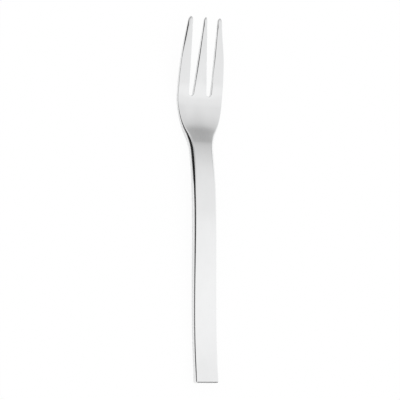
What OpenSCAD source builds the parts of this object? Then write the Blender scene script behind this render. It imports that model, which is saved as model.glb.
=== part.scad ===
// Fish fork with a bowed bar handle and three tines, lying on its back.
// Millimetres. Y runs along the fork with the tines at +Y, X runs across it and Z is up.
// The real fork is one bar of steel. Here its portions are separate solids that meet face to face.

/* [Length] */
// Length from the butt to the tips of the tines
overall_length = 180; // [165:1:200]
// Length of the head, from the break line at its root to the tips
head_length = 61.5; // [58:0.5:65]
// Length of the tines, from the bottoms of the slots to the tips
tine_length = 38.3; // [36:0.1:40]
// Length of the neck behind the break line
neck_length = 18; // [12:0.5:24]

/* [Handle] */
// Width at the butt
butt_width = 12.6; // [11:0.1:15]
// Width at the narrowest place, under the crest of the bow
waist_width = 12.5; // [11:0.1:13]
// Thickness at the butt
butt_thickness = 3.45; // [2.8:0.05:4]
// Thickness at the crest of the bow
crest_thickness = 4.25; // [3.6:0.05:5]
// Height of the front face above the table at the crest of the bow
crest_height = 6.68; // [5.5:0.02:9]
// Rise of the butt above the place where the handle touches the table
butt_lift = 1; // [0.4:0.1:2]
// Radius of the long front edges at the crest of the bow
front_radius = 1.45; // [0.8:0.05:1.6]
// Radius of the long back edges at the crest of the bow
back_radius = 1.7; // [0.8:0.05:1.8]
// Radius round the rim of the butt
butt_radius = 0.8; // [0.3:0.1:1]

/* [Head] */
// Greatest width, across the roots of the tines
head_width = 24.8; // [22:0.1:28]
// Width of the neck
neck_width = 12.9; // [12:0.1:13.5]
// Thickness of the neck
neck_thickness = 3.9; // [3.6:0.1:4.6]
// Thickness of the palm
palm_thickness = 1.8; // [1.5:0.1:2.2]
// Depth of the hollow across the palm
palm_dish = 0.7; // [0.2:0.05:1]

/* [Tines] */
// Width of the slots at their round bottoms
slot_width = 2.8; // [2.2:0.1:3]
// Distance of each slot bottom from the middle of the fork
slot_offset = 4.9; // [4.6:0.1:5.2]
// Width of the middle tine at its tip
middle_tip_width = 1.5; // [1.4:0.1:2.2]
// Width of the outer tines at their tips
outer_tip_width = 2.1; // [1.6:0.05:2.4]
// Gap between neighbouring tines at the tips
tip_gap = 6.2; // [5.4:0.1:6.4]
// Slope of the tines, as rise over run
tine_slope = 0.223; // [0.14:0.001:0.3]
// How much lower the outer edges of the tines end than the middle of the fork
outer_drop = 0.4; // [0:0.05:0.8]
// Thickness of the tines at their tips
tip_thickness = 1.5; // [1.2:0.1:1.8]
// Length of the rounding at each tip
tip_radius = 1.8; // [0.8:0.1:2.2]

/* [Quality] */
// Steps across the front and the back of a section
face_steps = 8; // [4:1:10]
// Steps round each corner of a section
corner_steps = 5; // [3:1:6]

/* [Hidden] */

steel = [0.80, 0.81, 0.82];
polished_steel = [0.86, 0.87, 0.88];

// Runs from the break line: forwards into the head, and back to the crest of the bow
shoulder_run = 4.5;
dip_run = 6;
thin_run = 12;
dish_run = 15;
palm_run = 18.5;
widest_run = 25.5;
rise_run = 29.5;
level_run = 34;
crest_run = 26.5;

// Stations along the fork
y_tip = overall_length / 2;
y_butt = -y_tip;
y_root = y_tip - head_length;
y_neck = y_root - neck_length;
y_crest = y_root - crest_run;
y_trough = y_butt + overall_length * 0.122;
y_dip = y_root + dip_run;
y_palm = y_root + palm_run;
y_rise = y_root + rise_run;
y_crotch = y_tip - tine_length;
y_split = y_crotch - 2;

// Slots and tips, measured from the middle of the fork
slot_radius = slot_width / 2;
tip_half = middle_tip_width / 2;
tip_inner = tip_half + tip_gap;
tip_outer = tip_inner + outer_tip_width;

// Slopes: of the shoulders in plan, and of the front face on both sides of the break line
spread = (head_width - waist_width) / 2;
shoulder_slope = spread / 13.4;
neck_slope = -0.175;
dip_slope = -0.205;

// The thickness breaks with the front face, so the underside runs on smoothly
neck_taper = -0.1;
dip_taper = neck_taper + dip_slope - neck_slope;

// Heights of the front face above the table. The underside meets the table below the dip
root_height = palm_thickness + 2.4;
dip_height = root_height + dip_slope * dip_run;
palm_height = palm_thickness + 0.06;
rise_height = palm_height + 0.945 * tine_slope * (rise_run - palm_run);

// Share of the thickness that the rounding takes at most, at the front and at the back
round_share = [0.53, 0.45];

// Smallest corner radius, and the share of a tip's section that is left at its very end
least_radius = 0.02;
nib_share = 0.2;

// Each curve is a row of knots: station, value, slope arriving, slope leaving
half_width_knots = [
    [y_butt, butt_width / 2, 0, 0],
    [y_crest, waist_width / 2, 0, 0],
    [y_root - 4.5, neck_width / 2, 0.012, 0.012],
    [y_root + shoulder_run, waist_width / 2 + spread * 0.353, shoulder_slope, shoulder_slope],
    [y_root + widest_run, head_width / 2, 0, 0],
    [y_tip, tip_outer, -0.18, 0]
];
thickness_knots = [
    [y_butt, butt_thickness, 0, 0],
    [y_crest, crest_thickness, 0, 0],
    [y_root - 6.5, neck_thickness, 0, 0],
    [y_root, neck_thickness - 0.25, neck_taper, dip_taper],
    [y_dip, dip_height, dip_slope, dip_slope],
    [y_palm, palm_thickness, 0, 0],
    [y_tip - 15, palm_thickness + 0.1, -0.01, -0.01],
    [y_tip, tip_thickness, -0.04, 0]
];
dish_knots = [
    [y_butt, 0, 0, 0],
    [y_root, 0, 0, 0],
    [y_root + dish_run, palm_dish, 0, 0],
    [y_root + level_run, 0, -0.03, -0.03],
    [y_tip, -outer_drop, 0, 0]
];

// The edges are soft on the handle and the neck, and crisp on the head
front_edge_knots = [
    [y_butt, front_radius - 0.55, 0, 0],
    [y_crest, front_radius, 0.01, 0.01],
    [y_root - 5, front_radius + 0.65, 0, 0],
    [y_root + shoulder_run, front_radius + 0.2, -0.16, -0.16],
    [y_root + thin_run, 0.55, -0.03, -0.03],
    [y_rise, 0.5, 0, 0],
    [y_tip, 0.85, 0, 0]
];
back_edge_knots = [
    [y_butt, back_radius - 0.2, 0, 0],
    [y_crest, back_radius, 0, 0],
    [y_root - 5, back_radius + 0.15, 0, 0],
    [y_root + shoulder_run, 0.45, 0, 0],
    [y_tip, 0.5, 0, 0]
];

// At the trough the front stands hardly more than one thickness above the table. The underside
// meets the table just past it, because the steel still thickens there
trough_height = curve(thickness_knots, y_trough) + 0.012;
front_knots = [
    [y_butt, trough_height + butt_lift, 0, -0.08],
    [y_trough, trough_height, 0, 0],
    [y_crest, crest_height, 0, 0],
    [y_root, root_height, neck_slope, dip_slope],
    [y_dip, dip_height, dip_slope, dip_slope],
    [y_palm, palm_height, 0, 0],
    [y_rise, rise_height, tine_slope, tine_slope],
    [y_tip, rise_height + tine_slope * (y_tip - y_rise), tine_slope, 0]
];

// Smooth curve through knots, with the slopes that they give
function last_knot(knots, y) =
    max([0, for (i = [0 : len(knots) - 2]) if (y >= knots[i][0]) i]);
function blend(a, b, h, t) =
    a[1] * (1 - 3 * t ^ 2 + 2 * t ^ 3) + b[1] * (3 * t ^ 2 - 2 * t ^ 3)
    + h * (a[3] * (t - 2 * t ^ 2 + t ^ 3) + b[2] * (t ^ 3 - t ^ 2));
function curve(knots, y) =
    let (i = last_knot(knots, y), h = knots[i + 1][0] - knots[i][0])
    blend(knots[i], knots[i + 1], h, (y - knots[i][0]) / h);

// Form of the bar at station y. Corner radii come in pairs: at the front, and at the back
function half_width(y) = curve(half_width_knots, y);
function thickness(y) = curve(thickness_knots, y);
function lesser(r, most) = [min(r[0], most[0]), min(r[1], most[1])];
function corner(y) =
    lesser([curve(front_edge_knots, y), curve(back_edge_knots, y)], round_share * thickness(y));

// Height of the mid-surface at a point of the plan
function mid_height(x, y) =
    curve(front_knots, y) - thickness(y) / 2 + curve(dish_knots, y) * (x / half_width(y)) ^ 2;

// Edges of a slot: a round bottom, then two sides that open towards the tips
function slot_open(y) =
    let (u = min(1, max(0, 1 - (y - y_crotch) / slot_radius)))
    slot_radius * sqrt(1 - u ^ 2);
function past_bottom(y) =
    max(0, y - y_crotch - slot_radius) / (tine_length - slot_radius);
function slot_inner(y) =
    slot_offset - slot_open(y) - past_bottom(y) * (slot_offset - slot_radius - tip_half);
function slot_outer(y) =
    slot_offset + slot_open(y) + past_bottom(y) * (tip_inner - slot_offset - slot_radius);

// Inner edges are square where neighbouring tines still touch, and round from the slot on
function inner_corner(y) =
    let (r = max(least_radius, y - y_crotch))
    lesser(corner(y), [r, r]);

// Rounding of the ends: how far a section draws in at the butt, and its share left at a tip
function butt_inset(y) =
    let (u = min(1, max(0, 1 - (y - y_butt) / butt_radius)))
    butt_radius * (1 - sqrt(1 - u ^ 2));
function tip_share(y) =
    let (u = min(1, max(0, 1 - (y_tip - y) / tip_radius)))
    max(nib_share, sqrt(1 - u ^ 2));

// Points of a bar section from x = a to x = b, with the corner radii ra and rb at its two ends.
// They run clockwise as seen from the butt: front, one end, back, other end
function bar_section(a, b, t, ra, rb) = [
    for (i = [0 : face_steps]) [a + ra[0] + (b - rb[0] - a - ra[0]) * i / face_steps, t / 2],
    for (k = [1 : corner_steps])
        let (q = 90 * k / corner_steps, r = rb[0]) [b - r + r * sin(q), t / 2 - r + r * cos(q)],
    for (k = [0 : corner_steps - 1])
        let (q = 90 * k / corner_steps, r = rb[1]) [b - r + r * cos(q), r - t / 2 - r * sin(q)],
    for (i = [0 : face_steps]) [b - rb[1] + (a + ra[1] - b + rb[1]) * i / face_steps, -t / 2],
    for (k = [1 : corner_steps])
        let (q = 90 * k / corner_steps, r = ra[1]) [a + r - r * sin(q), r - t / 2 - r * cos(q)],
    for (k = [0 : corner_steps - 1])
        let (q = 90 * k / corner_steps, r = ra[0]) [a + r - r * cos(q), t / 2 - r + r * sin(q)]
];

// A section stood on the mid-surface at station y
function placed(section, y) = [for (p = section) [p[0], y, mid_height(p[0], y) + p[1]]];

function bar_loop(y) =
    let (e = butt_inset(y), w = half_width(y) - e, t = thickness(y) - 2 * e)
    let (r = lesser(corner(y), round_share * t))
    placed(bar_section(-w, w, t, r, r), y);

function tine_loop(y, a, b, ra, rb) =
    let (s = tip_share(y), c = (a + b) / 2, h = (b - a) / 2 * s, most = 0.95 * [h, h])
    placed(
        bar_section(c - h, c + h, thickness(y) * s, lesser(ra * s, most), lesser(rb * s, most)), y
    );

// Stations from a to b in n equal steps, without the first one
function steps(a, b, n) = [for (i = [1 : n]) a + (b - a) * i / n];

// Solid skinned over loops with the same number of points
module skin(loops) {
    n = len(loops[0]);
    m = 2 * face_steps + 1 + 2 * corner_steps;
    top = (len(loops) - 1) * n;
    points = [for (loop = loops) for (p = loop) p];
    sides = [
        for (j = [0 : n : top - n])
            for (i = [0 : n - 1])
                let (p = j + i, q = j + (i + 1) % n)
                    each [[p, p + n, q + n], [p, q + n, q]]
    ];
    // Strips across a flat end, from its front edge to its back edge
    end = [
        for (i = [0 : face_steps + corner_steps - 1])
            each [[i, i + 1, m - i - 1], [i, m - i - 1, m - i]],
        for (k = [0 : corner_steps - 1])
            each [[(n - k) % n, m + k, m + k + 1], [(n - k) % n, m + k + 1, n - k - 1]]
    ];
    far_end = [for (f = end) [f[2] + top, f[1] + top, f[0] + top]];
    polyhedron(points, concat(sides, end, far_end));
}

module handle() {
    overrun = 0.5;
    rim = [for (k = [0 : 4]) y_butt + butt_radius * (1 - cos(22.5 * k))];
    bar = steps(y_butt + butt_radius, y_neck, 30);
    color(steel)
        difference() {
            skin([for (y = concat([y_butt - overrun], rim, bar)) bar_loop(y)]);
            // The butt is ground off square
            translate([-butt_width, y_butt - 2 * overrun, -butt_width])
                cube([2 * butt_width, 2 * overrun, 3 * butt_width]);
        }
}

module neck() {
    color(steel)
        skin([for (y = concat([y_neck], steps(y_neck, y_root, 14))) bar_loop(y)]);
}

module palm() {
    color(polished_steel)
        skin([for (y = concat([y_root], steps(y_root, y_split, 18))) bar_loop(y)]);
}

tine_stations = concat(
    [y_split, y_crotch],
    [for (k = [1 : 6]) y_crotch + slot_radius * (1 - cos(15 * k))],
    steps(y_crotch + slot_radius, y_tip - tip_radius, 20),
    [for (k = [1 : 5]) y_tip - tip_radius * (1 - sin(18 * k))]
);

module outer_tine() {
    skin([
        for (y = tine_stations)
            tine_loop(y, slot_outer(y), half_width(y), inner_corner(y), corner(y))
    ]);
}

module left_tine() {
    color(polished_steel)
        mirror([1, 0, 0])
            outer_tine();
}

module middle_tine() {
    color(polished_steel)
        skin([
            for (y = tine_stations)
                tine_loop(y, -slot_inner(y), slot_inner(y), inner_corner(y), inner_corner(y))
        ]);
}

module right_tine() {
    color(polished_steel)
        outer_tine();
}

handle();
neck();
palm();
left_tine();
middle_tine();
right_tine();
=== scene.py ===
# %% [markdown]
# # A polished steel fish fork
# The real fork is one blank of stainless steel. It is forged to shape, slotted, and then
# polished all over until it reflects the room. The CAD part holds its size and its six
# portions, so the script loads that frame first: every later size is read from it, or is
# a real size in millimetres that is set against it.

import bpy
import numpy as np
from mathutils import Matrix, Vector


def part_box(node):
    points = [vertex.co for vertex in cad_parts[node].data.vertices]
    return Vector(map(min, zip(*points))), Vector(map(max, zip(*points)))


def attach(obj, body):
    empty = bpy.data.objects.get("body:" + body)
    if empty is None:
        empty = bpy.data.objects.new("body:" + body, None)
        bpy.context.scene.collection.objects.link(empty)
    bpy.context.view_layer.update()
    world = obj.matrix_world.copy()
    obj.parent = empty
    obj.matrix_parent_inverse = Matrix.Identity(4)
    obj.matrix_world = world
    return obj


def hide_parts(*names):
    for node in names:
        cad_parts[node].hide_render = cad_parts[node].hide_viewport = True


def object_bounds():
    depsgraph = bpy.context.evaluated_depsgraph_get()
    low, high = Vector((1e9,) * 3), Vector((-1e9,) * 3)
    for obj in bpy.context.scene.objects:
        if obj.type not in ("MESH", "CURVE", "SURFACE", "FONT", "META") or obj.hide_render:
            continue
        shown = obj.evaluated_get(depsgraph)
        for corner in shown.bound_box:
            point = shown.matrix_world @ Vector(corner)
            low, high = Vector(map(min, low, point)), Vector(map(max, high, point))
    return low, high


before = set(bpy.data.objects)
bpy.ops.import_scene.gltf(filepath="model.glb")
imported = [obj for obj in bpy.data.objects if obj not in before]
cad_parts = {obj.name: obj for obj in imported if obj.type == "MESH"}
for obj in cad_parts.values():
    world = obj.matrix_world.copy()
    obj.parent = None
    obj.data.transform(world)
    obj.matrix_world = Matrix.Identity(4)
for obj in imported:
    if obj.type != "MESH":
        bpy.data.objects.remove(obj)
cad_low, cad_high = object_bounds()
MM = 0.001
print("CAD portions:", *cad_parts)
print("CAD box, mm:", [round((b - a) / MM, 2) for a, b in zip(cad_low, cad_high)])

# %% [markdown]
# ## Camera
# The picture looks down on the fork from its left, a little from the butt's side, through
# a long lens that keeps the edges almost parallel. A camera can be aimed with a constraint,
# but here its three axes are worked out from two leans and a roll, because then each angle
# can be corrected by itself when the outline is compared with the picture.

# %% Camera
IMAGE_PX = 400
SENSOR_MM = 36.0
lean_left = np.radians(28.0)
lean_to_butt = np.radians(7.0)
camera_roll = np.radians(-1.22)
camera_distance = 1200.0
px_per_mm = 2.028
origin_px = np.array([199.51, 200.63])

sight = np.array([
    -np.sin(lean_left) * np.cos(lean_to_butt),
    -np.sin(lean_to_butt),
    np.cos(lean_left) * np.cos(lean_to_butt),
])
level_up = np.array([0.0, 1.0, 0.0]) - sight[1] * sight
level_up /= np.linalg.norm(level_up)
level_right = np.cross(level_up, sight)
right = np.cos(camera_roll) * level_right + np.sin(camera_roll) * level_up
up = np.cos(camera_roll) * level_up - np.sin(camera_roll) * level_right
off_centre = (origin_px - IMAGE_PX / 2) / px_per_mm
camera_place = camera_distance * sight - off_centre[0] * right + off_centre[1] * up

camera = bpy.data.objects.new("camera", bpy.data.cameras.new("camera"))
bpy.context.scene.collection.objects.link(camera)
camera.data.sensor_width = SENSOR_MM
camera.data.lens = SENSOR_MM * px_per_mm * camera_distance / IMAGE_PX
camera.data.clip_start = 0.01
turned = np.eye(4)
turned[:3, :4] = np.column_stack([right, up, sight, camera_place * MM])
camera.matrix_world = Matrix(turned.tolist())
bpy.context.scene.camera = camera
print("lens, mm:", round(camera.data.lens, 1))

# %% [markdown]
# ## Studio
# Polished steel has hardly any colour of its own: it shows the room. A photographer
# therefore lays it on white, lets white light in from everywhere, and then stands dark
# cloths, called flags, just out of sight. Each flag draws one dark line along an edge.
# A painted sky could do this too, but flags are real things that a learner can move.

# %% Helpers for meshes and shader nodes
def mesh_object(name, points, faces):
    """A mesh object from points in millimetres and faces of three or four corners.
    A face whose corners repeat loses the repeats, so a collapsed quad is a triangle."""
    corner = faces != np.roll(faces, 1, axis=1)
    kept = corner.sum(1) > 2
    loops, sides = faces[kept][corner[kept]], corner[kept].sum(1)
    mesh = bpy.data.meshes.new(name)
    mesh.vertices.add(len(points))
    mesh.vertices.foreach_set("co", (points * MM).astype(np.float32).ravel())
    mesh.loops.add(len(loops))
    mesh.loops.foreach_set("vertex_index", loops.astype(np.int32))
    mesh.polygons.add(len(sides))
    mesh.polygons.foreach_set("loop_start", (np.cumsum(sides) - sides).astype(np.int32))
    mesh.polygons.foreach_set("use_smooth", np.ones(len(sides), bool))
    mesh.update(calc_edges=True)
    piece = bpy.data.objects.new(name, mesh)
    bpy.context.scene.collection.objects.link(piece)
    return piece


def grid_quads(numbers):
    """Quads of a grid of point numbers, facing up where rows run along Y and columns
    along X: this point, the next column, the next column and row, the next row."""
    return np.stack(
        [numbers[:-1, :-1], numbers[:-1, 1:], numbers[1:, 1:], numbers[1:, :-1]], -1
    )


def float_attribute(piece, name, values):
    """Stores one number for each point of a piece, for its material to read."""
    layer = piece.data.attributes.new(name, "FLOAT", "POINT")
    layer.data.foreach_set("value", values.astype(np.float32))


def add_node(tree, kind, inputs=None, **settings):
    """Adds a shader node. An input is a plain value, or another node's output."""
    made = tree.nodes.new("ShaderNode" + kind)
    for name, value in settings.items():
        setattr(made, name, value)
    for name, value in (inputs or {}).items():
        if isinstance(value, bpy.types.NodeSocket):
            tree.links.new(value, made.inputs[name])
        else:
            made.inputs[name].default_value = value
    return made


def new_material(name):
    """An empty node material and its output node."""
    made = bpy.data.materials.new(name)
    made.use_nodes = True
    made.node_tree.nodes.clear()
    return made, made.node_tree, made.node_tree.nodes.new("ShaderNodeOutputMaterial")


# %% [markdown]
# The table is a white sheet. Where the camera looks at it, most of it is plain white, and
# the rest is a matt white that takes the fork's soft shadow. In the steel it is mostly matt,
# so the fork's flanks show the shade that the fork itself throws beside it.

# %% White table and white room
table_half = 6000.0
shadow_share = 0.06
mirrored_shadow_share = 0.65

table = mesh_object(
    "table",
    table_half * np.array([[-1.0, -1, 0], [1, -1, 0], [1, 1, 0], [-1, 1, 0]]),
    np.array([[0, 1, 2, 3]]),
)
table_paint, tree, output = new_material("white_table")
matt = add_node(tree, "BsdfDiffuse", {"Color": (1, 1, 1, 1)})
plain = add_node(tree, "Emission", {"Color": (1, 1, 1, 1), "Strength": 1.0})
seen = add_node(tree, "LightPath").outputs
mirrored = add_node(
    tree, "Math", {0: seen["Is Glossy Ray"], 1: seen["Is Transmission Ray"]},
    operation="ADD", use_clamp=True,
)
mirrored_white = add_node(
    tree, "Math", {0: mirrored.outputs[0], 1: 1 - mirrored_shadow_share},
    operation="MULTIPLY",
)
white_share = add_node(
    tree, "Math",
    {0: seen["Is Camera Ray"], 1: 1 - shadow_share, 2: mirrored_white.outputs[0]},
    operation="MULTIPLY_ADD",
)
table_white = add_node(
    tree, "MixShader",
    {0: white_share.outputs[0], 1: matt.outputs[0], 2: plain.outputs[0]},
)
tree.links.new(table_white.outputs[0], output.inputs["Surface"])
table.data.materials.append(table_paint)

room = bpy.data.worlds.new("white_room")
bpy.context.scene.world = room
room.use_nodes = True
room.node_tree.nodes["Background"].inputs["Color"].default_value = (1, 1, 1, 1)
room.node_tree.nodes["Background"].inputs["Strength"].default_value = 1.0
bpy.context.scene.view_settings.view_transform = "Standard"
print("table, m:", 2 * table_half * MM)

# %% [markdown]
# Each flag is a sheet of cloth whose weave is dense in some places and thin in others, which
# gives the line that it draws a soft or a hard side. An image could hold the weave, but here
# each row of the cloth's points carries one number, the share of the cloth that is thread,
# and the material mixes dark thread and clear air by it.

# %% Cloth of the flags
# The same dark cloth also makes the sheets of painted shade on the table.
cloth_grey = 0.015

cloth, tree, output = new_material("flag_and_painted_shade_cloth")
weave = add_node(tree, "Attribute", attribute_name="weave")
clear = add_node(tree, "BsdfTransparent")
thread = add_node(
    tree, "Emission", {"Color": (1, 1, 1, 1), "Strength": cloth_grey}
)
hung = add_node(
    tree, "MixShader",
    {0: weave.outputs["Fac"], 1: clear.outputs[0], 2: thread.outputs[0]},
)
tree.links.new(hung.outputs[0], output.inputs["Surface"])
print("cloth:", cloth.name)


# %% Shapes of the flags
def sheet_rows(corner, across, along, stops):
    """Rows of a flat sheet: the corner, plus none or all of the way across, plus each stop,
    a distance in millimetres, along its length."""
    share = np.array([0.0, 1.0])[None, :, None]
    reach = np.array(stops)[:, None, None]
    return np.array(corner) + share * np.array(across) + reach * np.array(along)


def disc_rows(centre, radii, steps=24):
    """Rows of a disc that faces the camera: circles round its centre, one of each radius,
    by the cosine of an angle to the camera's right and its sine up."""
    angle = np.linspace(0, 2 * np.pi, steps + 1)[None, :, None]
    return centre + np.array(radii)[:, None, None] * (np.cos(angle) * right + np.sin(angle) * up)


def wall_rows(radius, opening, heights, steps=48):
    """Rows of a round wall that is open towards +X by an angle to either side: level arcs
    about the fork, one at each height."""
    turns = np.radians(np.linspace(opening, 360 - opening, steps + 1))
    angle, height = np.meshgrid(turns, heights)
    return np.stack([radius * np.cos(angle), radius * np.sin(angle), height], -1)


def flag(name, rows, light):
    """A cloth on a grid of points: a flag, or a sheet of painted shade. Each row lets its own
    share of the light through.
    """
    rows = np.array(rows, float)
    numbers = np.arange(rows[..., 0].size).reshape(rows.shape[:2])
    made = mesh_object(name, rows.reshape(-1, 3), grid_quads(numbers).reshape(-1, 4))
    dense = (1 - np.array(light)) / (1 - cloth_grey)
    float_attribute(made, "weave", np.repeat(dense, rows.shape[1]))
    made.data.materials.append(cloth)
    made.visible_camera = made.visible_diffuse = made.visible_shadow = False
    return made


# %% [markdown]
# A wide flag stands far off on the left and draws the dark line along the edges, and a small
# one close by blackens it at the neck. One hangs over the fork like a lid, with a flap under
# it, and greys the faces that look up at it, as a thin one does over the butt. A narrow one
# beyond the butt draws the line there. Two dark sheets on the table by the left flank are
# painted shade: they stand in for the fork's shade on the table, as the flanks mirror it. A thin
# grey wall goes round them all, open on the right, so that the fork looks like metal from
# every side. The camera shows in the steel too, as a dark disc. None of these is in the
# picture, and none casts a shadow on the table. Places are in millimetres, and a light of 1
# is a weave that lets everything through.

# %% Wall and flags on the left
wall_radius, wall_opening = 2500, 40

left_flags = [
    flag(
        "wall",
        wall_rows(wall_radius, wall_opening, (0, 500, 1000, 1600, 2300)),
        (0.45, 0.45, 0.6, 0.85, 1),
    ),
    flag(
        "left_flag",
        sheet_rows((-2000, -1060, 0), (0, 1670, 0), (0, 0, 1), (0, 950, 1250, 2500, 3600)),
        (0.4, 0.4, 0.03, 0.03, 1),
    ),
    flag(
        "neck_flag",
        [
            [(-100, 8, 0), (-100, 60, 0)],
            [(-100, 14, 75), (-100, 80, 75)],
            [(-100, 24, 150), (-100, 115, 150)],
            [(-100, 45, 190), (-100, 150, 250)],
            [(-100, 50, 225), (-100, 160, 300)],
        ],
        (cloth_grey, cloth_grey, cloth_grey, cloth_grey, 1),
    ),
]
print("on the left:", [piece.name for piece in left_flags])

# %% Flags overhead
hood_distance = 600

overhead_flags = [
    flag(
        "lid",
        sheet_rows(
            (-300, 0, 200), (720, 0, 0), (0, 1, 0),
            (-45, 0, 10, 60, 85, 100, 130, 150, 158, 170, 200, 400),
        ),
        (1, 0.96, 0.905, 0.88, 0.84, 0.775, 0.665, 0.47, 0.41, 0.38, 0.75, 0.8),
    ),
    flag(
        "lid_flap",
        sheet_rows((-150, 0, 190), (190, 0, 0), (0, 1, 0), (20, 60, 90, 130, 170)),
        (1, 0.92, 0.78, 0.6, 1),
    ),
    flag(
        "butt_cloth",
        sheet_rows((5, 0, 60), (55, 0, 0), (0, 1, 0), (-110, -78, -72, -69.5, -67.5, -62)),
        (1, 0.945, 0.95, 0.97, 0.985, 1),
    ),
    flag("camera_hood", disc_rows(hood_distance * sight, (0, 130, 200)), (0.1, 0.1, 1)),
]
print("overhead:", [piece.name for piece in overhead_flags])

# %% Flag beyond the butt, and painted shade on the table
foot_flag_and_painted_shade = [
    flag(
        "foot_flag",
        [
            [(45, -230, 0), (105, -230, 0)],
            [(65, -230, 110), (125, -230, 110)],
            [(110, -230, 230), (175, -230, 230)],
            [(175, -230, 370), (245, -230, 370)],
        ],
        (cloth_grey, cloth_grey, cloth_grey, 1),
    ),
    # Painted shade: two dark sheets on the table, seen only in the steel, stand in for the fork's
    # shade beside its left flank.
    flag(
        "painted_shade_on_table",
        sheet_rows((-20, 10, 0.2), (0, 400, 0), (-1, 0.1, 0), (0, 40, 120, 280)),
        (1, 0.6, 0.45, 0.45),
    ),
    flag(
        "painted_shade_by_neck",
        sheet_rows((-9, 8, 0.1), (-7, 40, 0), (-1, 0.25, 0), (0, 8, 30, 120)),
        (1, 0.65, 0.5, 1),
    ),
]
print("low down:", [piece.name for piece in foot_flag_and_painted_shade])

# %% [markdown]
# ## Curves of the blank
# A forged blank is described by a few lines along its length: how wide it is, how thick,
# how high its front face stands and how deeply it is dished. Each line is a chain of knots
# joined by cubics. That needs few numbers, and a knot with two slopes gives a crisp break,
# such as the line across the root of the head.

# %% Stations from the frame
def node_mm(node):
    """Lowest and highest corner of a CAD node, in millimetres."""
    low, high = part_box(node)
    return np.round(np.array(low) / MM, 3), np.round(np.array(high) / MM, 3)


y_butt, y_neck = node_mm("handle")[0][1], node_mm("handle")[1][1]
y_root = node_mm("neck")[1][1]
y_split = node_mm("palm")[1][1]
y_tip = node_mm("middle_tine")[1][1]
butt_half = node_mm("handle")[1][0]
head_half = round(cad_high.x / MM, 2)
print("stations, mm:", y_butt, y_neck, y_root, y_split, y_tip)

# %% Knots of the width and the thickness
y_trough = y_butt + 0.122 * (y_tip - y_butt)
y_crest = y_root - 26.5
y_shoulder = y_root + 4.5
y_dip = y_root + 6.0
y_palm = y_root + 18.5
y_rise = y_root + 29.5

waist_half = 6.25
neck_half = 6.45
shoulder_half = 8.42
tip_outer = 9.05
neck_flare, shoulder_flare, tip_draw_in = 0.012, 0.46, -0.18
half_width_knots = [
    (y_butt, butt_half, 0, 0),
    (y_crest, waist_half, 0, 0),
    (y_root - 4.5, neck_half, neck_flare, neck_flare),
    (y_shoulder, shoulder_half, shoulder_flare, shoulder_flare),
    (y_root + 25.5, head_half, 0, 0),
    (y_tip, tip_outer, tip_draw_in, 0),
]

butt_thickness, crest_thickness, neck_thickness, root_thickness = 3.45, 4.25, 3.9, 3.65
palm_thickness, tine_thickness, tip_thickness = 1.8, 1.9, 1.5
neck_taper, tine_taper, tip_taper = -0.1, -0.01, -0.04
neck_slope, dip_slope = -0.175, -0.205
dip_taper = neck_taper + dip_slope - neck_slope
root_height = 4.2
dip_height = root_height + dip_slope * (y_dip - y_root)
thickness_knots = [
    (y_butt, butt_thickness, 0, 0),
    (y_crest, crest_thickness, 0, 0),
    (y_root - 6.5, neck_thickness, 0, 0),
    (y_root, root_thickness, neck_taper, dip_taper),
    (y_dip, dip_height, dip_slope, dip_slope),
    (y_palm, palm_thickness, 0, 0),
    (y_tip - 15.0, tine_thickness, tine_taper, tine_taper),
    (y_tip, tip_thickness, tip_taper, 0),
]
print("knots of the width and the thickness:", len(half_width_knots), len(thickness_knots))

# %% Width and thickness along the fork
def curve(y, knots):
    """Value of a chain of cubics at stations y. A knot is (station, value, slope
    arriving, slope leaving), and each cubic takes the values and slopes at its ends."""
    station, value, arrive, leave = np.array(knots, float).T
    k = np.clip(np.searchsorted(station, y, side="right") - 1, 0, len(station) - 2)
    run = station[k + 1] - station[k]
    u = (y - station[k]) / run
    return (
        value[k] * (1 + 2 * u) * (1 - u) ** 2
        + value[k + 1] * u**2 * (3 - 2 * u)
        + run * leave[k] * u * (1 - u) ** 2
        - run * arrive[k + 1] * u**2 * (1 - u)
    )


def half_width(y):
    """Half of the width across the whole fork at stations y."""
    return curve(y, half_width_knots)


def thickness(y):
    """Thickness of the steel at stations y."""
    return curve(y, thickness_knots)


print("neck, mm:", 2 * half_width(y_neck), "x", thickness(y_neck))

# %% [markdown]
# The front face dips where the head begins, and the tines rise again towards their tips.
# The palm is dished across, so its sides stand a little higher than its middle. Both are
# held by one mid-surface, and the front and the back lie half a thickness above and below.

# %% Height of the steel
wheel_reach, wheel_steps = 0.9, 7
tine_slope, tine_bend = 0.223, 0.02
butt_lift, butt_slope = 1.0, -0.08
trough_clearance, palm_clearance = 0.012, 0.06
trough_height = thickness(y_trough) + trough_clearance
crest_height = 6.68
palm_height = palm_thickness + palm_clearance
rise_height = 4.18
front_knots = [
    (y_butt, trough_height + butt_lift, 0, butt_slope),
    (y_trough, trough_height, 0, 0),
    (y_crest, crest_height, 0, 0),
    (y_root, root_height, neck_slope, dip_slope),
    (y_dip, dip_height, dip_slope, dip_slope),
    (y_palm, palm_height, 0, 0),
    (y_rise, rise_height, tine_slope + tine_bend, tine_slope + tine_bend),
    (y_tip, rise_height + tine_slope * (y_tip - y_rise), tine_slope - tine_bend, 0),
]
palm_dish, tine_dish, tip_dish = 0.72, 0.1, -0.4
dish_fall = -0.03
dish_knots = [
    (y_butt, 0, 0, 0),
    (y_root, 0, 0, 0),
    (y_root + 18.0, palm_dish, 0, 0),
    (y_root + 34.0, tine_dish, dish_fall, dish_fall),
    (y_tip, tip_dish, 0, 0),
]


def front_height(y):
    """Height of the front along its middle line: the mean of the knots' curve over the
    stretch that a polishing wheel takes in, which softens the breaks in it."""
    steps = np.linspace(-wheel_reach, wheel_reach, wheel_steps)
    return np.mean([curve(y + step, front_knots) for step in steps], axis=0)


def mid_height(x, y):
    """Height of the mid-surface: the front less half the thickness, plus the dish, which
    grows with the square of the distance from the middle."""
    dish = curve(y, dish_knots) * (x / half_width(y)) ** 2
    return front_height(y) - thickness(y) / 2 + dish


print("front at the crest, mm:", front_height(y_crest))

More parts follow.
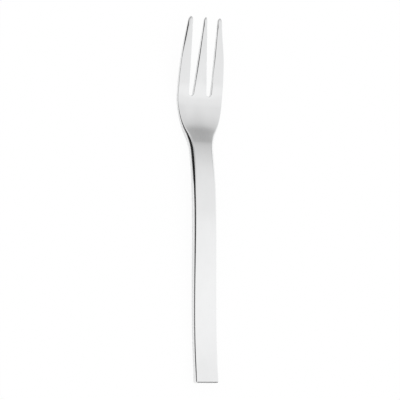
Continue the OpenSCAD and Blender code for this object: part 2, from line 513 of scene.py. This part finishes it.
# %% [markdown]
# ## Plan of the skin
# The polished skin is two sheets, front and back, and a rounded rim that joins them all
# the way round. A solid with a Bevel modifier could do that, but a bevel struggles where
# the slots' round bottoms crowd it. So the flat of each sheet is worked out first, inset
# from the outline by the reach of the rim, on rows across the fork and columns along it.
# The reach is a chain of knots again: the edge is broadest at the neck, where the flanks are
# fully round, and sharpest where the tines begin.

# %% Reach of the rim
butt_round = 0.8
butt_blend = 5.0
round_share = {"front": 0.53, "back": 0.45}
edge_knots = {
    "front": [
        (y_butt, 0.9, 0, 0),
        (y_butt + 30.0, 0.8, 0, 0),
        (y_crest, 1.45, 0.005, 0.01),
        (y_root - 5.0, 2.1, 0, 0),
        (y_shoulder, 1.65, -0.16, -0.16),
        (y_root + 12.0, 0.55, -0.03, -0.03),
        (y_split, 0.22, 0, 0),
        (y_rise + 11.0, 0.22, 0, 0),
        (y_tip - 8.0, 1.0, 0, 0),
        (y_tip, 1.0, 0, 0),
    ],
    "back": [
        (y_butt, 1.5, 0, 0),
        (y_crest, 1.7, 0, 0),
        (y_root - 5.0, 1.85, 0, 0),
        (y_shoulder, 0.45, 0, 0),
        (y_tip, 0.5, 0, 0),
    ],
}


def ease(u):
    """An S-curve from 0 to 1: three times the square less twice the cube of u."""
    u = np.clip(u, 0, 1)
    return u * u * (3 - 2 * u)


def rim_reach(sheet, y):
    """How far the rounded edge of a sheet reaches in from the outline: the edge's radius,
    or a share of the thickness where that is less, eased down to the butt's rounding."""
    full = np.minimum(curve(y, edge_knots[sheet]), round_share[sheet] * thickness(y))
    near_butt = ease((y - y_butt - butt_round) / butt_blend)
    return butt_round + (full - butt_round) * near_butt


for sheet in edge_knots:
    print(sheet, "rim at the neck and at a tip, mm:", rim_reach(sheet, np.array([y_neck, y_tip])))

# %% [markdown]
# Three tines leave two slots, each with a round bottom. A wheel hardly gets into a slot, so
# its edges stay sharper than the outline's, and as they are dressed by hand, no two come out
# alike. One radius could do for all of them, but then the lines that they draw in the polish
# would be too even for a real fork.

# %% Edges of the slots
slot_offset = 4.9
slot_radius = 1.4
crotch_rise = 2.0
y_open = y_split + crotch_rise + slot_radius
slot_edge_knots = {
    "left_tine": [(y_open, 0.18, 0, 0), (y_tip - 15.0, 0.42, 0, 0), (y_tip, 0.42, 0, 0)],
    "middle_tine": [(y_open, 0.18, 0, 0), (y_tip - 22.0, 0.62, 0, 0), (y_tip, 0.45, 0, 0)],
    "right_tine": [
        (y_open, 0.18, 0, 0),
        (y_open + 8.0, 0.08, 0, 0),
        (y_tip - 18.0, 0.42, 0, 0),
        (y_tip, 0.42, 0, 0),
    ],
}
slot_back_knots = [(y_open, 0.45, 0, 0), (y_tip, 0.5, 0, 0)]


def slot_reach(sheet, y, name="middle_tine"):
    """How far a slot's rounded edge reaches into a tine: its radius, or a share of the
    thickness where that is less. At the slot's bottom it is the same for all tines."""
    knots = slot_edge_knots[name] if sheet == "front" else slot_back_knots
    return np.minimum(curve(y, knots), round_share[sheet] * thickness(y))


def slot_rounding(sheet):
    """Radius of a slot's bottom on the flat of a sheet: the slot's own and its edge's."""
    return slot_radius + slot_reach(sheet, y_open)


print("slot bottom, mm:", slot_rounding("front"), slot_rounding("back"))

# %% [markdown]
# The bar is everything below the tines. Its columns fall into five groups: tine, slot, tine,
# slot, tine. Over the last few rows the slots' columns sink, so that the top row runs round
# each slot's bottom as a half circle. Cutting the slots out with a Boolean modifier would
# leave ragged faces there, and a mirror finish shows every one of them.

# %% Rows and columns of the bar
crease_half = 0.15
tine_columns, slot_columns = 10, 12


def stations(*stops):
    """Stations from stop to stop. Each stop is (station, steps to the next one)."""
    runs = [
        np.linspace(a[0], b[0], a[1], endpoint=False) for a, b in zip(stops, stops[1:])
    ]
    return np.concatenate([*runs, [stops[-1][0]]])


bar_rows = stations(
    (y_butt + butt_round, 16),
    (y_butt + butt_round + butt_blend, 70),
    (y_neck, 24),
    (y_root - crease_half, 1),
    (y_root, 1),
    (y_root + crease_half, 40),
    (y_split, 8),
    (y_open, 0),
)
turn = np.linspace(0, np.pi, slot_columns + 1)
sunk_share = np.clip((bar_rows - y_split) / (y_open - y_split), 0, 1)[:, None]


def top_row_across(sheet):
    """Places across the bar's top row: even steps over the tines, and over the slots the
    cosine of the turn, so that they step evenly round the slots' bottoms."""
    edge = half_width(y_open) - rim_reach(sheet, y_open)
    inner, outer = slot_offset - slot_rounding(sheet), slot_offset + slot_rounding(sheet)
    slot_across = -slot_rounding(sheet) * np.cos(turn[:-1])
    right_half = np.concatenate([
        slot_across + slot_offset, np.linspace(outer, edge, tine_columns + 1)
    ])
    middle = np.linspace(-inner, inner, tine_columns + 1)[1:-1]
    return np.concatenate([-right_half[::-1], middle, right_half])


def bar_plan(sheet):
    """Grid of the bar's flat on a sheet: the top row's places, drawn in or out with the
    bar's width, and its stations, which sink below the slots by the sine of the turn."""
    half = half_width(bar_rows) - rim_reach(sheet, bar_rows)
    sunk, level_part = slot_rounding(sheet) * np.sin(turn[:-1]), np.zeros(tine_columns)
    sink = np.concatenate([level_part, sunk, level_part, sunk, level_part, [0.0]])
    across = top_row_across(sheet) / half[-1]
    return half[:, None] * across, bar_rows[:, None] - sink * sunk_share


print("bar grid:", bar_plan("front")[0].shape)

# %% [markdown]
# A tine is a strip between two edges that draw together towards its tip. Its rim grows
# until it takes up the whole width, so that the flat of the tine ends in a point and the
# tip itself is a rounded nose.

# %% Edges of the tines
tip_half = 0.75
tip_inner = 6.95


def past_bottom(y):
    """Share of the way from the end of a slot's round bottom to the tips."""
    return np.maximum(0, y - y_open) / (y_tip - y_open)


def slot_inner(y):
    """Edge of the middle tine: from the slot's bottom in a straight line to its tip."""
    start = slot_offset - slot_radius
    return start + past_bottom(y) * (tip_half - start)


def slot_outer(y):
    """Inner edge of an outer tine: from the slot's bottom in a straight line to its tip."""
    start = slot_offset + slot_radius
    return start + past_bottom(y) * (tip_inner - start)


tine_edges = {
    "left_tine": lambda y: (-half_width(y), -slot_outer(y)),
    "middle_tine": lambda y: (-slot_inner(y), slot_inner(y)),
    "right_tine": lambda y: (slot_outer(y), half_width(y)),
}
outer_sides = {("left_tine", -1), ("right_tine", 1)}


def tine_middle(name, y):
    """Middle of a tine and half of its width at stations y."""
    low, high = tine_edges[name](y)
    return (low + high) / 2, (high - low) / 2


for name in tine_edges:
    print(name, "half width at its root and tip, mm:", tine_middle(name, np.array([y_open, y_tip]))[1])

# %% Rows and columns of the tines
tip_round = 1.8
tip_blend = 5.0
y_nose = y_tip - tip_round
tine_rows = stations((y_open, 34), (y_nose - tip_blend / 2, 16), (y_nose, 0))
tine_across = np.linspace(-1, 1, tine_columns + 1)


def tine_reach(sheet, name, side, y):
    """Reach of the rounded edge on one side of a tine: the outline's or the slot's, eased
    to the tine's half width at its nose."""
    near_tip = ease((y - y_nose + tip_blend) / tip_blend)
    outer = (name, side) in outer_sides
    common = rim_reach(sheet, y) if outer else slot_reach(sheet, y, name)
    return common + near_tip * (tine_middle(name, y)[1] - common)


def tine_plan(sheet, name):
    """Grid of a tine's flat: even places across, between its two sides drawn in by the reach
    of their edges. Its stations are the rows."""
    low, high = tine_edges[name](tine_rows)
    low = low + tine_reach(sheet, name, -1, tine_rows)
    high = high - tine_reach(sheet, name, 1, tine_rows)
    x = ((low + high)[:, None] + (high - low)[:, None] * tine_across) / 2
    return x, tine_rows[:, None] + 0 * x


print("tine grid:", tine_plan("front", "middle_tine")[0].shape)

# %% [markdown]
# ## Two sheets
# Cutting and polishing leave traces in the form. A hand-held face never comes out dead
# flat but slightly crowned, and the tool that cuts a slot draws the steel below it up a
# little. Both are far too shallow to see as shape, but a mirror finish shows them.

# %% Front and back sheets
handle_crown = 0.05
crown_rise = 25.0
tine_crown = 0.06
draw_height = 0.25
draw_width = 3.2
draw_below, draw_above = 17.0, 11.0


def slot_draw(x, y):
    """Height of the steel drawn up round the slots' bottoms: a bell across each slot's line
    that eases away towards the palm and along the tines."""
    across = np.exp(-(((np.abs(x) - slot_offset) / draw_width) ** 2))
    before = ease((y - y_open + draw_below) / draw_below)
    after = 1 - ease((y - y_open) / draw_above)
    return draw_height * across * before * after


def bar_crown(y):
    """Crown of the bar: none at the butt, where the rim starts level, full on the handle, and
    gone again at the root of the head."""
    from_butt = ease((y - y_butt - butt_round) / crown_rise)
    return handle_crown * from_butt * (1 - ease((y - y_neck) / (y_root - y_neck)))


def tine_crowning(y):
    """Crown of a tine: none at its root and tip, and full half way along."""
    return tine_crown * np.sin(np.pi * (y - y_open) / (y_nose - y_open))


def laid(sheet, x, y, crown):
    """Points of a grid on a sheet: the mid-surface plus or minus half of the thickness. The
    front has the crown and the steel drawn up by the slots as well."""
    middle, half = mid_height(x, y), thickness(y) / 2
    z = middle + half + crown + slot_draw(x, y) if sheet == "front" else middle - half
    return np.stack([x, y, z], -1)


skin_points = []


def keep(points):
    """Adds a grid of points to the skin and gives back their numbers, as a grid."""
    start = sum(len(done) for done in skin_points)
    skin_points.append(points.reshape(-1, 3))
    return start + np.arange(points[..., 0].size).reshape(points.shape[:-1])


bar_across = np.linspace(-1, 1, bar_plan("front")[0].shape[1])
bar_lift = bar_crown(bar_rows)[:, None] * (1 - bar_across**2)
tine_lift = tine_crowning(tine_rows)[:, None] * (1 - tine_across**2)
bar_sheet, tine_sheet = {}, {}
for sheet in edge_knots:
    bar_sheet[sheet] = keep(laid(sheet, *bar_plan(sheet), bar_lift))
    for name in tine_edges:
        tine_sheet[sheet, name] = keep(laid(sheet, *tine_plan(sheet, name), tine_lift))
print("points in the sheets:", sum(len(s) for s in skin_points))

# %% [markdown]
# ## The rim
# The rim is one profile carried round the whole outline: out of the front in a quarter
# round, down a narrow flat, and in to the back in another quarter round. At each place it
# starts on the edge of the flat and reaches out by one arrow. Where many arrows start from
# one point, at the tips and the butt's corners, the profile sweeps round like a fan.

# %% Arrows of the rim
fan_steps = 10


def fan(centre, reach, start, stop):
    """Arrows from one point, all of one reach: round from angle start to angle stop, by the
    cosine across the fork and by the sine along it."""
    angle = np.radians(np.linspace(start, stop, fan_steps + 1))
    arrows = reach * np.stack([np.cos(angle), np.sin(angle)], -1)
    return np.broadcast_to(centre, arrows.shape), arrows


def level(x, y, reach):
    """Arrows straight across the fork, from points at x and stations y."""
    return np.stack([x, y], -1), np.stack([reach, 0 * y], -1)


def tine_side(sheet, name, side):
    """Arrows out of one side of a tine, from its root to its nose."""
    middle, half = tine_middle(name, tine_rows)
    reach = tine_reach(sheet, name, side, tine_rows)
    return level(middle + side * (half - reach), tine_rows, side * reach)


def tine_nose(name):
    """Arrows round a tine's nose, from its right side to its left: each ends on the
    tapered edges, drawn in by the cosine of the angle, a tip's length further on by its
    sine."""
    angle = np.radians(np.linspace(0, 180, 2 * fan_steps + 1))
    y = y_nose + tip_round * np.sin(angle)
    middle, half = tine_middle(name, y)
    centre = np.array([tine_middle(name, y_nose)[0], y_nose])
    ends = np.stack([middle + half * np.cos(angle), y], -1)
    return np.broadcast_to(centre, ends.shape), ends - centre


def slot_bottom(sheet, side):
    """Arrows into a slot's round bottom, from its right end to its left."""
    centre = np.array([side * slot_offset, y_open])
    spokes = np.stack([np.cos(turn), -np.sin(turn)], -1)
    return centre + slot_rounding(sheet) * spokes, -slot_reach(sheet, y_open) * spokes


def backwards(starts_and_arrows):
    """The same arrows in the opposite order."""
    return starts_and_arrows[0][::-1], starts_and_arrows[1][::-1]


print("arrows round a tip:", len(tine_nose("middle_tine")[1]))


# %% Path of the rim
def tine_round(sheet, name):
    """Arrows up a tine's right side, round its nose and down its left side."""
    left = backwards(tine_side(sheet, name, -1))
    return [tine_side(sheet, name, 1), tine_nose(name), left]


def rim_path(sheet):
    """Arrows round the whole outline, from the left end of the butt anticlockwise."""
    reach = rim_reach(sheet, bar_rows)
    half = half_width(bar_rows) - reach
    x, y = (grid[0] for grid in bar_plan(sheet))
    return [
        (np.stack([x, y], -1), np.tile([0.0, -butt_round], (len(x), 1))),
        fan((half[0], y[0]), butt_round, -90, 0),
        level(half, bar_rows, reach),
        *tine_round(sheet, "right_tine"),
        slot_bottom(sheet, 1),
        *tine_round(sheet, "middle_tine"),
        slot_bottom(sheet, -1),
        *tine_round(sheet, "left_tine"),
        backwards(level(-half, bar_rows, -reach)),
        fan((-half[0], y[0]), butt_round, 180, 270),
    ]


rim_start = np.cumsum([0] + [len(part[0]) for part in rim_path("front")])
print("places round the rim:", rim_start[-1])

# %% Profile of the rim
round_steps = 8
tip_depth_share = 0.22
quarter = np.linspace(np.pi / 2, 0, round_steps + 1)


def round_depth(sheet, y):
    """Most that the rim may curve down from a sheet: its share of the thickness, eased to a
    smaller share at the tips, which are rounded flat."""
    near_tip = ease((y - y_nose + tip_blend) / tip_blend)
    share = round_share[sheet] + near_tip * (tip_depth_share - round_share[sheet])
    return share * thickness(y)


def quarter_round(sheet):
    """Points of the rim beside a sheet: out along the arrow by the cosine of the angle, and
    from the sheet towards the middle of the steel by one less its sine."""
    starts, arrows = (np.concatenate(part) for part in zip(*rim_path(sheet)))
    plan = starts[:, None] + arrows[:, None] * np.cos(quarter)[:, None]
    x, y = plan[..., 0], plan[..., 1]
    depth = np.minimum(np.linalg.norm(arrows, axis=1), round_depth(sheet, starts[:, 1]))
    away = thickness(y) / 2 - depth[:, None] * (1 - np.sin(quarter))
    if sheet == "front":
        z = mid_height(x, y) + away + slot_draw(x, y) * np.sin(quarter)
    else:
        z = mid_height(x, y) - away
    return np.stack([x, y, z], -1)


rim = keep(np.concatenate([quarter_round("front"), quarter_round("back")[:, ::-1]], 1))
print("points in the rim:", rim.size)

# %% [markdown]
# ## One skin, six portions
# The sheets and the rim meet point for point, so merging equal points closes the skin.
# Its smooth normals are worked out while it is still whole. Then it is parted at the same
# planes as the CAD solids, and each portion gets a cap where it meets the next. Because
# both sides of a parting keep the normals of the whole skin, no line shows there.

# %% Close the skin
merge_digits = 5
places, first, merged = np.unique(
    np.round(np.concatenate(skin_points), merge_digits),
    axis=0, return_index=True, return_inverse=True,
)
merged = merged.ravel()
edge_share = np.zeros(len(merged))
edge_share[rim.ravel()] = np.tile(np.cos([*quarter, *quarter[::-1]]), len(rim))
edge_share = edge_share[first]
print("points merged:", len(merged) - len(places))

# %% Faces and the portions that own them
PORTIONS = ["handle", "neck", "palm", "left_tine", "middle_tine", "right_tine"]
bar_cuts = [y_neck, y_root, y_split]
rim_next = np.roll(rim, -1, axis=0)
rim_quads = np.stack([rim[:, :-1], rim[:, 1:], rim_next[:, 1:], rim_next[:, :-1]], -1)


def portion_of(x, y):
    """Number of the portion at a place: by its station up to the split, and above it by
    which side of the slots' lines it lies on."""
    along = np.searchsorted(bar_cuts, y)
    across = np.searchsorted([-slot_offset, slot_offset], x)
    return np.where(along < len(bar_cuts), along, len(bar_cuts) + across)


def middles(grid):
    """Values half way between neighbouring rows and columns of a grid."""
    return (grid[:-1, :-1] + grid[1:, 1:]) / 2


column_x = top_row_across("front") + 0 * bar_rows[:, None]
row_y = bar_rows[:, None] + 0 * column_x
bar_owner = portion_of(middles(column_x), middles(row_y))
rim_plan = np.concatenate([part[0] for part in rim_path("front")])
halfway = (rim_plan + np.roll(rim_plan, -1, axis=0)) / 2
rim_owner = portion_of(halfway[:, 0], halfway[:, 1])[:, None] + np.zeros(rim.shape[1] - 1, int)
skin_quads = [rim_quads]
skin_owner = [rim_owner]
for sheet, facing in (("front", 1), ("back", -1)):
    skin_quads.append(grid_quads(bar_sheet[sheet])[..., ::facing])
    skin_owner.append(bar_owner)
    for name in tine_edges:
        quads = grid_quads(tine_sheet[sheet, name])[..., ::facing]
        skin_quads.append(quads)
        skin_owner.append(np.full(quads.shape[:2], PORTIONS.index(name)))
skin_quads = merged[np.concatenate([q.reshape(-1, 4) for q in skin_quads])]
skin_owner = np.concatenate([o.ravel() for o in skin_owner])
print("quads of the portions:", dict(zip(PORTIONS, np.bincount(skin_owner).tolist())))


# %% Normals of the whole skin
def face_normals(faces):
    """Cross product of a face's diagonals: its direction, and twice its area as length."""
    a, b, c, d = (places[faces[:, k]] for k in range(4))
    return np.cross(c - a, d - b)


pushes = np.repeat(face_normals(skin_quads), 4, axis=0)
normals = np.stack(
    [np.bincount(skin_quads.ravel(), pushes[:, k], len(places)) for k in range(3)], -1
)
normals /= np.linalg.norm(normals, axis=1, keepdims=True)
print("skin:", len(places), "points,", len(skin_quads), "quads")

# %% [markdown]
# A parting runs over the front, down one rim, over the back and up the other rim. Its cap
# is a strip of quads between the line on the front and the line on the back. The caps are
# never seen, but with them each portion is a closed solid, as its CAD node is.

# %% Partings of the bar
FRONT_DOWN = np.arange(round_steps + 1)
BACK_DOWN = 2 * round_steps + 1 - FRONT_DOWN
top_row = len(bar_rows) - 1
left_cut = tine_columns + slot_columns // 2
right_cut = len(bar_across) - 1 - left_cut
# Where the right side, the two slots and the left side start in the list that rim_path gives.
RIGHT_SIDE, RIGHT_SLOT, LEFT_SLOT, LEFT_SIDE = rim_start[[2, 6, 10, 14]]


def parting(enter, inside_front, inside_back, leave):
    """Front and back lines of a parting, as point numbers: in over the rim at one place,
    across the sheets, and out over the rim at another place."""
    front = [rim[enter, FRONT_DOWN[::-1]], inside_front, rim[leave, FRONT_DOWN]]
    back = [rim[enter, BACK_DOWN[::-1]], inside_back, rim[leave, BACK_DOWN]]
    return merged[np.concatenate(front)], merged[np.concatenate(back)]


def cap(lines):
    """Quads between the two lines of a parting, facing the tips."""
    front, back = lines
    return np.stack([front[:-1], front[1:], back[1:], back[:-1]], -1)


def row_parting(y):
    """Parting straight across the bar at station y."""
    row = int(np.argmin(np.abs(bar_rows - y)))
    on_left, on_right = LEFT_SIDE + top_row - row, RIGHT_SIDE + row
    return parting(on_left, bar_sheet["front"][row], bar_sheet["back"][row], on_right)


caps = {"handle": [cap(row_parting(y_neck))]}
caps["neck"] = [caps["handle"][0][:, ::-1], cap(row_parting(y_root))]
caps["palm"] = [caps["neck"][1][:, ::-1], cap(row_parting(y_split))]
print("cap quads along the bar:", {name: sum(map(len, made)) for name, made in caps.items()})

# %% Partings of the tines
split_row = int(np.argmin(np.abs(bar_rows - y_split)))
left_split, right_split = LEFT_SIDE + top_row - split_row, RIGHT_SIDE + split_row
left_bottom, right_bottom = LEFT_SLOT + slot_columns // 2, RIGHT_SLOT + slot_columns // 2


def tine_line(sheet_numbers, name):
    """Line on one sheet that parts a tine from the palm and its neighbours: along the
    split, and up the middle of each web to the slot's bottom."""
    rows = slice(split_row, top_row + 1)
    up_left, up_right = sheet_numbers[rows, left_cut], sheet_numbers[rows, right_cut]
    along = sheet_numbers[split_row]
    return {
        "left_tine": np.concatenate([along[:left_cut], up_left]),
        "middle_tine": np.concatenate(
            [up_left[::-1], along[left_cut + 1 : right_cut], up_right]
        ),
        "right_tine": np.concatenate([up_right[::-1], along[right_cut + 1 :]]),
    }[name]


tine_ends = {
    "left_tine": (left_split, left_bottom),
    "middle_tine": (left_bottom, right_bottom),
    "right_tine": (right_bottom, right_split),
}
for name, (enter, leave) in tine_ends.items():
    front, back = (tine_line(bar_sheet[sheet], name) for sheet in ("front", "back"))
    caps[name] = [cap(parting(enter, front, back, leave))[:, ::-1]]
print("cap quads of the tines:", {name: len(caps[name][0]) for name in tine_ends})

# %% The six portions
least_area = 1e-9


def portion(name):
    """One closed portion: its part of the skin and its caps. Faces with no area and points
    that it doesn't use are left out. The skin's corners keep the normals of the whole skin,
    and a cap's corners take the cap's own direction."""
    skin = skin_quads[skin_owner == PORTIONS.index(name)]
    faces = np.concatenate([skin, *caps[name]])
    own = face_normals(faces)
    real = np.linalg.norm(own, axis=1) > least_area
    is_cap = (np.arange(len(faces)) >= len(skin))[real]
    faces, own = faces[real], own[real]
    used, faces = np.unique(faces, return_inverse=True)
    faces = faces.reshape(-1, 4)
    piece = mesh_object("polished_" + name, places[used], faces)
    corner = faces != np.roll(faces, 1, axis=1)
    own = own / np.linalg.norm(own, axis=1, keepdims=True)
    shown = np.where(is_cap[:, None, None], own[:, None], normals[used][faces])
    piece.data.normals_split_custom_set(shown[corner].tolist())
    float_attribute(piece, "edge", edge_share[used])
    return piece


portions = {name: portion(name) for name in PORTIONS}
for piece in portions.values():
    print(piece.name, len(piece.data.vertices), "points,", len(piece.data.polygons), "faces")

# %% [markdown]
# ## Mirror-polished steel
# Stainless steel cutlery is polished with ever finer compounds, always along its length.
# What is left is a mirror with a faint grain along the fork and a slow waviness from the
# wheel. Use adds smudges, fine scratches from the drawer and the sink, and wear along the
# edges. Images could hold these traces, but noise patterns on Object coordinates need no
# unwrapping and run on over the partings. The metal is one Principled shader.

# %% Steel finish
steel_finish, tree, output = new_material("mirror_polished_steel")
place = add_node(tree, "TexCoord").outputs["Object"]


def noise(scale, turned=0.0, detail=2.0):
    """Noise whose size along X, Y and Z is one over the scale, in metres, turned about Z
    by an angle in degrees."""
    moved = add_node(
        tree, "Mapping",
        {"Vector": place, "Rotation": (0, 0, np.radians(turned)), "Scale": scale},
    )
    return add_node(
        tree, "TexNoise",
        {"Vector": moved.outputs[0], "Scale": 1.0, "Detail": detail, "Roughness": 0.6},
    ).outputs["Fac"]


def between(value, low, high, to_low, to_high):
    """A value from one range carried over to another, and held at its ends."""
    return add_node(
        tree, "MapRange",
        {"Value": value, 1: low, 2: high, 3: to_low, 4: to_high},
    ).outputs[0]


def total(a, b, operation="ADD"):
    """Two values joined by one sum or product."""
    return add_node(tree, "Math", {0: a, 1: b}, operation=operation).outputs[0]


grain = noise((2600, 60, 2600), detail=4.0)
waviness = noise((55, 22, 55), detail=1.0)
smudges = noise((120, 70, 120), detail=3.0)
scratches = total(
    between(noise((3000, 70, 400), turned=24), 0.66, 0.72, 0, 1),
    between(noise((3400, 60, 400), turned=-37), 0.67, 0.73, 0, 1),
    "MAXIMUM",
)
edge = add_node(tree, "Attribute", attribute_name="edge").outputs["Fac"]
wear = total(between(edge, 0.55, 1.0, 0, 1), between(smudges, 0.35, 0.7, 0, 1), "MULTIPLY")
print("patterns on the steel:", sum(n.type == "TEX_NOISE" for n in tree.nodes))

# %% Steel shader
steel_light, steel_dark = (0.89, 0.893, 0.896, 1), (0.86, 0.863, 0.866, 1)
tone = add_node(
    tree, "Mix",
    {"Factor": between(smudges, 0.3, 0.7, 0, 1), "A": steel_dark, "B": steel_light},
    data_type="RGBA",
)
fine_polish, coarse_polish = 0.10, 0.16
scratch_roughness, wear_roughness = 0.05, 0.06
roughness = total(
    between(grain, 0.3, 0.7, fine_polish, coarse_polish),
    total(scratches, scratch_roughness, "MULTIPLY"),
)
roughness = total(roughness, total(wear, wear_roughness, "MULTIPLY"))


def dent(height, depth, under=None):
    """Bump of a pattern: its height times a depth in metres, over the bump under it."""
    inputs = {"Height": height, "Strength": 1.0, "Distance": depth}
    if under is not None:
        inputs["Normal"] = under
    return add_node(tree, "Bump", inputs).outputs[0]


wave_depth, grain_depth, scratch_depth = 2.0e-5, 1.5e-7, -4.0e-7
relief = dent(waviness, wave_depth)
relief = dent(grain, grain_depth, relief)
relief = dent(scratches, scratch_depth, relief)
metal = add_node(
    tree, "BsdfPrincipled",
    {
        "Base Color": tone.outputs["Result"],
        "Metallic": 1.0,
        "Roughness": roughness,
        "Normal": relief,
    },
)
tree.links.new(metal.outputs[0], output.inputs["Surface"])
for piece in portions.values():
    piece.data.materials.append(steel_finish)
print("finish:", steel_finish.name, "on", len(portions), "portions")

# %% [markdown]
# ## Hand over
# Each portion stands for the CAD solid of the same name and moves with the fork's one
# body.

# %% Ride on the frame
for name, piece in portions.items():
    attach(piece, "root")
    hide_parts(name)
